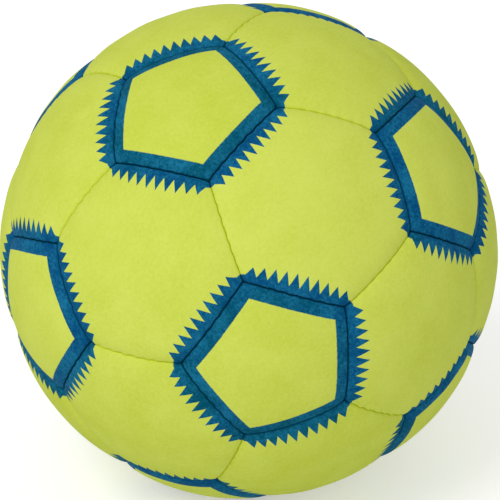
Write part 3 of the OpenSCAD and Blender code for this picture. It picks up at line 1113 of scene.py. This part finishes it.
class BALL_OT_felt_pentagons(bpy.types.Operator):
    """Builds the twelve felt pentagons"""

    bl_idname = "ball.felt_pentagons"
    bl_label = "Felt pentagons"

    def execute(self, context):
        make_panels(context, PENT, "pentagon")
        return {"FINISHED"}


class BALL_OT_seam_threads(bpy.types.Operator):
    """Lays the waxed thread in all ninety seams"""

    bl_idname = "ball.seam_threads"
    bl_label = "Seam threads"

    def execute(self, context):
        finish = context.scene.ball_finishes
        hexes, pents = hexagon_axes(), pentagon_axes()
        shared = [(a, b) for i, a in enumerate(hexes) for b in hexes[i + 1 :] if a @ b > NEIGHBOUR_COS]
        ringed = [(a, b) for a in pents for b in hexes if a @ b > NEIGHBOUR_COS]
        make_threads(context, "lime_thread", shared, HEX, "hexagon_seam_threads", finish.lime_thread)
        make_threads(context, "blue_thread", ringed, PENT, "pentagon_seam_threads", finish.blue_thread)
        return {"FINISHED"}


class BALL_OT_cloth_layers(bpy.types.Operator):
    """Lays the cloth behind the panels and the patch round the valve"""

    bl_idname = "ball.cloth_layers"
    bl_label = "Cloth layers"

    def execute(self, context):
        inner = context.scene.ball_inner
        valve = context.scene.ball_valve
        material = cloth_material(context)
        make_pads(context, HEX, "hexagon", material)
        make_pads(context, PENT, "pentagon", material)
        tip = tip_radius(context.scene.ball_cover)
        hole, rim = valve_hole(valve), inner.patch / 2
        patch = np.concatenate([arc(tip + inner.patch_thickness, hole, rim), arc(tip, rim, hole)])
        profile = rounded(patch, valve.rounding)
        make_turned("valve_patch_cloth", profile, material, "backing_cloth", "valve_patch", woven=True)
        return {"FINISHED"}


class BALL_OT_bladder(bpy.types.Operator):
    """Moulds the rubber bladder"""

    bl_idname = "ball.bladder"
    bl_label = "Bladder"

    def execute(self, context):
        scene = context.scene
        grain = scene.ball_grain
        tint = scene.ball_finishes.bladder
        material = rubber_material("bladder_latex", tint, grain.bladder_grain, grain.die_depth, BLADDER_ROUGHNESS)
        outside, inside = bladder_radii(scene.ball_cover, scene.ball_inner)
        profile = bladder_profile(outside, inside, valve_hole(scene.ball_valve), scene.ball_inner)
        make_turned("bladder_moulded", profile, material, "bladder_rubber", "bladder")
        return {"FINISHED"}


class BALL_OT_valve(bpy.types.Operator):
    """Moulds the valve's housing and its plug"""

    bl_idname = "ball.valve"
    bl_label = "Valve"

    def execute(self, context):
        scene = context.scene
        v = scene.ball_valve
        grain = scene.ball_grain
        tint = scene.ball_finishes.rubber
        material = rubber_material("valve_rubber", tint, grain.valve_grain, grain.die_depth, VALVE_ROUGHNESS)
        top = ball_radius(scene.ball_cover) - v.recess
        seat = top - v.plug_head_thickness
        flange = bladder_radii(scene.ball_cover, scene.ball_inner)[1] - scene.ball_inner.bond
        under = flange - v.flange_thickness
        boss_end = under - v.boss
        bore = v.plug / 2 + v.gap
        socket = v.plug_head / 2 + v.gap
        neck = v.neck / 2
        rim = v.flange / 2
        inlet = [(bore, boss_end), (bore, seat), (socket, seat), (socket, top), (neck, top)]
        housing = np.concatenate([inlet, arc(flange, neck, rim), arc(under, rim, neck), [(neck, boss_end)]])
        housing = rounded(housing, v.rounding)
        make_turned("valve_housing_moulded", housing, material, "valve_rubber", "valve_housing")
        bulb_top = boss_end - v.gap
        low = bulb_top - v.bulb_length
        end = top - v.needle_depth
        hole = v.needle / 2
        shank = v.plug / 2
        head = v.plug_head / 2
        plug = [
            (0, end),
            (hole, end),
            (hole, top - v.bevel),
            (hole + v.bevel, top),
            (head, top),
            (head, seat + v.gap),
            (shank, seat + v.gap),
            (shank, bulb_top),
            (v.bulb / 2, bulb_top),
            (shank, low),
            (0, low),
        ]
        make_turned("valve_plug_moulded", rounded(plug, v.rounding), material, "valve_rubber", "valve_plug")
        return {"FINISHED"}


class BALL_OT_stage(bpy.types.Operator):
    """Sets the floor, the lights and the camera"""

    bl_idname = "ball.stage"
    bl_label = "Stage"

    def execute(self, context):
        scene = context.scene
        stage = scene.ball_stage
        scene.view_settings.view_transform = "Standard"

        half = stage.floor_width / 2
        low = cad_box[0][2]
        corners = [(-half, -half, low), (half, -half, low), (half, half, low), (-half, half, low)]
        mesh = bpy.data.meshes.new("floor")
        mesh.from_pydata(corners, [], [(0, 1, 2, 3)])
        mesh.materials.append(floor_material(context))
        floor = bpy.data.objects.new("floor", mesh)
        scene.collection.objects.link(floor)

        world = bpy.data.worlds.new("studio")
        world.use_nodes = True
        tree = world.node_tree
        tree.nodes.clear()
        backdrop = {"Value": straight(tree), "To Min": stage.sky, "To Max": 1.0}
        strength = add(tree, "MapRange", backdrop).outputs["Result"]
        sky = add(tree, "Background", {"Color": WHITE, "Strength": strength})
        add(tree, "OutputWorld", {"Surface": sky.outputs["Background"]})
        scene.world = world

        back = Vector(
            (
                math.sin(stage.azimuth) * math.cos(stage.elevation),
                -math.cos(stage.azimuth) * math.cos(stage.elevation),
                math.sin(stage.elevation),
            )
        )
        right = Vector((math.cos(stage.azimuth), math.sin(stage.azimuth), 0))
        up = back.cross(right)

        def lamp(name, spot, size, power):
            """A square lamp that faces the ball, placed across, up and towards the camera."""
            light = bpy.data.lights.new(name, "AREA")
            light.size = size
            light.energy = power
            holder = bpy.data.objects.new(name, light)
            spot = right * spot[0] + up * spot[1] + back * spot[2]
            holder.matrix_world = Matrix.Translation(spot) @ spot.to_track_quat("Z", "Y").to_matrix().to_4x4()
            scene.collection.objects.link(holder)

        lamp("key_lamp", stage.key_place, stage.key_size, stage.key)
        lamp("front_lamp", stage.fill_place, stage.fill_size, stage.fill)
        lamp("rear_lamp", stage.rear_place, stage.rear_size, stage.rear)

        camera = bpy.data.cameras.new("camera")
        camera.sensor_width = SENSOR
        camera.lens = stage.lens
        camera.shift_x = stage.shift_x
        camera.shift_y = stage.shift_y
        camera.clip_start = NEAREST
        camera.clip_end = FARTHEST
        holder = bpy.data.objects.new("camera", camera)
        turned_up = up * math.cos(stage.roll) + right * math.sin(stage.roll)
        turned_right = turned_up.cross(back)
        turn = Matrix((turned_right, turned_up, back)).transposed().to_4x4()
        holder.matrix_world = Matrix.Translation(back * stage.distance) @ turn
        scene.collection.objects.link(holder)
        scene.camera = holder
        return {"FINISHED"}


class BALL_PT_sidebar(bpy.types.Panel):
    """Lists the steps that build the ball"""

    bl_label = "Indoor Soccer Ball"
    bl_idname = "BALL_PT_sidebar"
    bl_space_type = "VIEW_3D"
    bl_region_type = "UI"
    bl_category = "Ball"

    def draw(self, context):
        for step in STEPS:
            self.layout.operator(step.bl_idname)
        for key in SETTINGS:
            box = self.layout.box()
            group = getattr(context.scene, key)
            for prop in group.__annotations__:
                box.prop(group, prop)


SETTINGS = {
    "ball_cover": CoverSizes,
    "ball_print": PrintSizes,
    "ball_inner": InnerSizes,
    "ball_thread": ThreadSizes,
    "ball_valve": ValveSizes,
    "ball_grain": GrainSizes,
    "ball_finishes": Finishes,
    "ball_stage": StageSettings,
}
STEPS = (
    BALL_OT_felt_hexagons,
    BALL_OT_felt_pentagons,
    BALL_OT_seam_threads,
    BALL_OT_cloth_layers,
    BALL_OT_bladder,
    BALL_OT_valve,
    BALL_OT_stage,
)


def register():
    for cls in (*SETTINGS.values(), *STEPS, BALL_PT_sidebar):
        bpy.utils.register_class(cls)
    for key, cls in SETTINGS.items():
        setattr(bpy.types.Scene, key, PointerProperty(type=cls))


def unregister():
    for key in SETTINGS:
        delattr(bpy.types.Scene, key)
    for cls in reversed((*SETTINGS.values(), *STEPS, BALL_PT_sidebar)):
        bpy.utils.unregister_class(cls)


def main():
    """Builds the ball and its stage, and stops if a solid is left without a finished piece."""
    register()
    bpy.ops.ball.felt_hexagons()
    bpy.ops.ball.felt_pentagons()
    bpy.ops.ball.seam_threads()
    bpy.ops.ball.cloth_layers()
    bpy.ops.ball.bladder()
    bpy.ops.ball.valve()
    bpy.ops.ball.stage()
    bpy.context.view_layer.update()
    bare = [name for name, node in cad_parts.items() if not node.hide_render]
    if bare:
        raise RuntimeError(f"solids without a finished piece: {bare}")


if __name__ == "__main__":
    main()
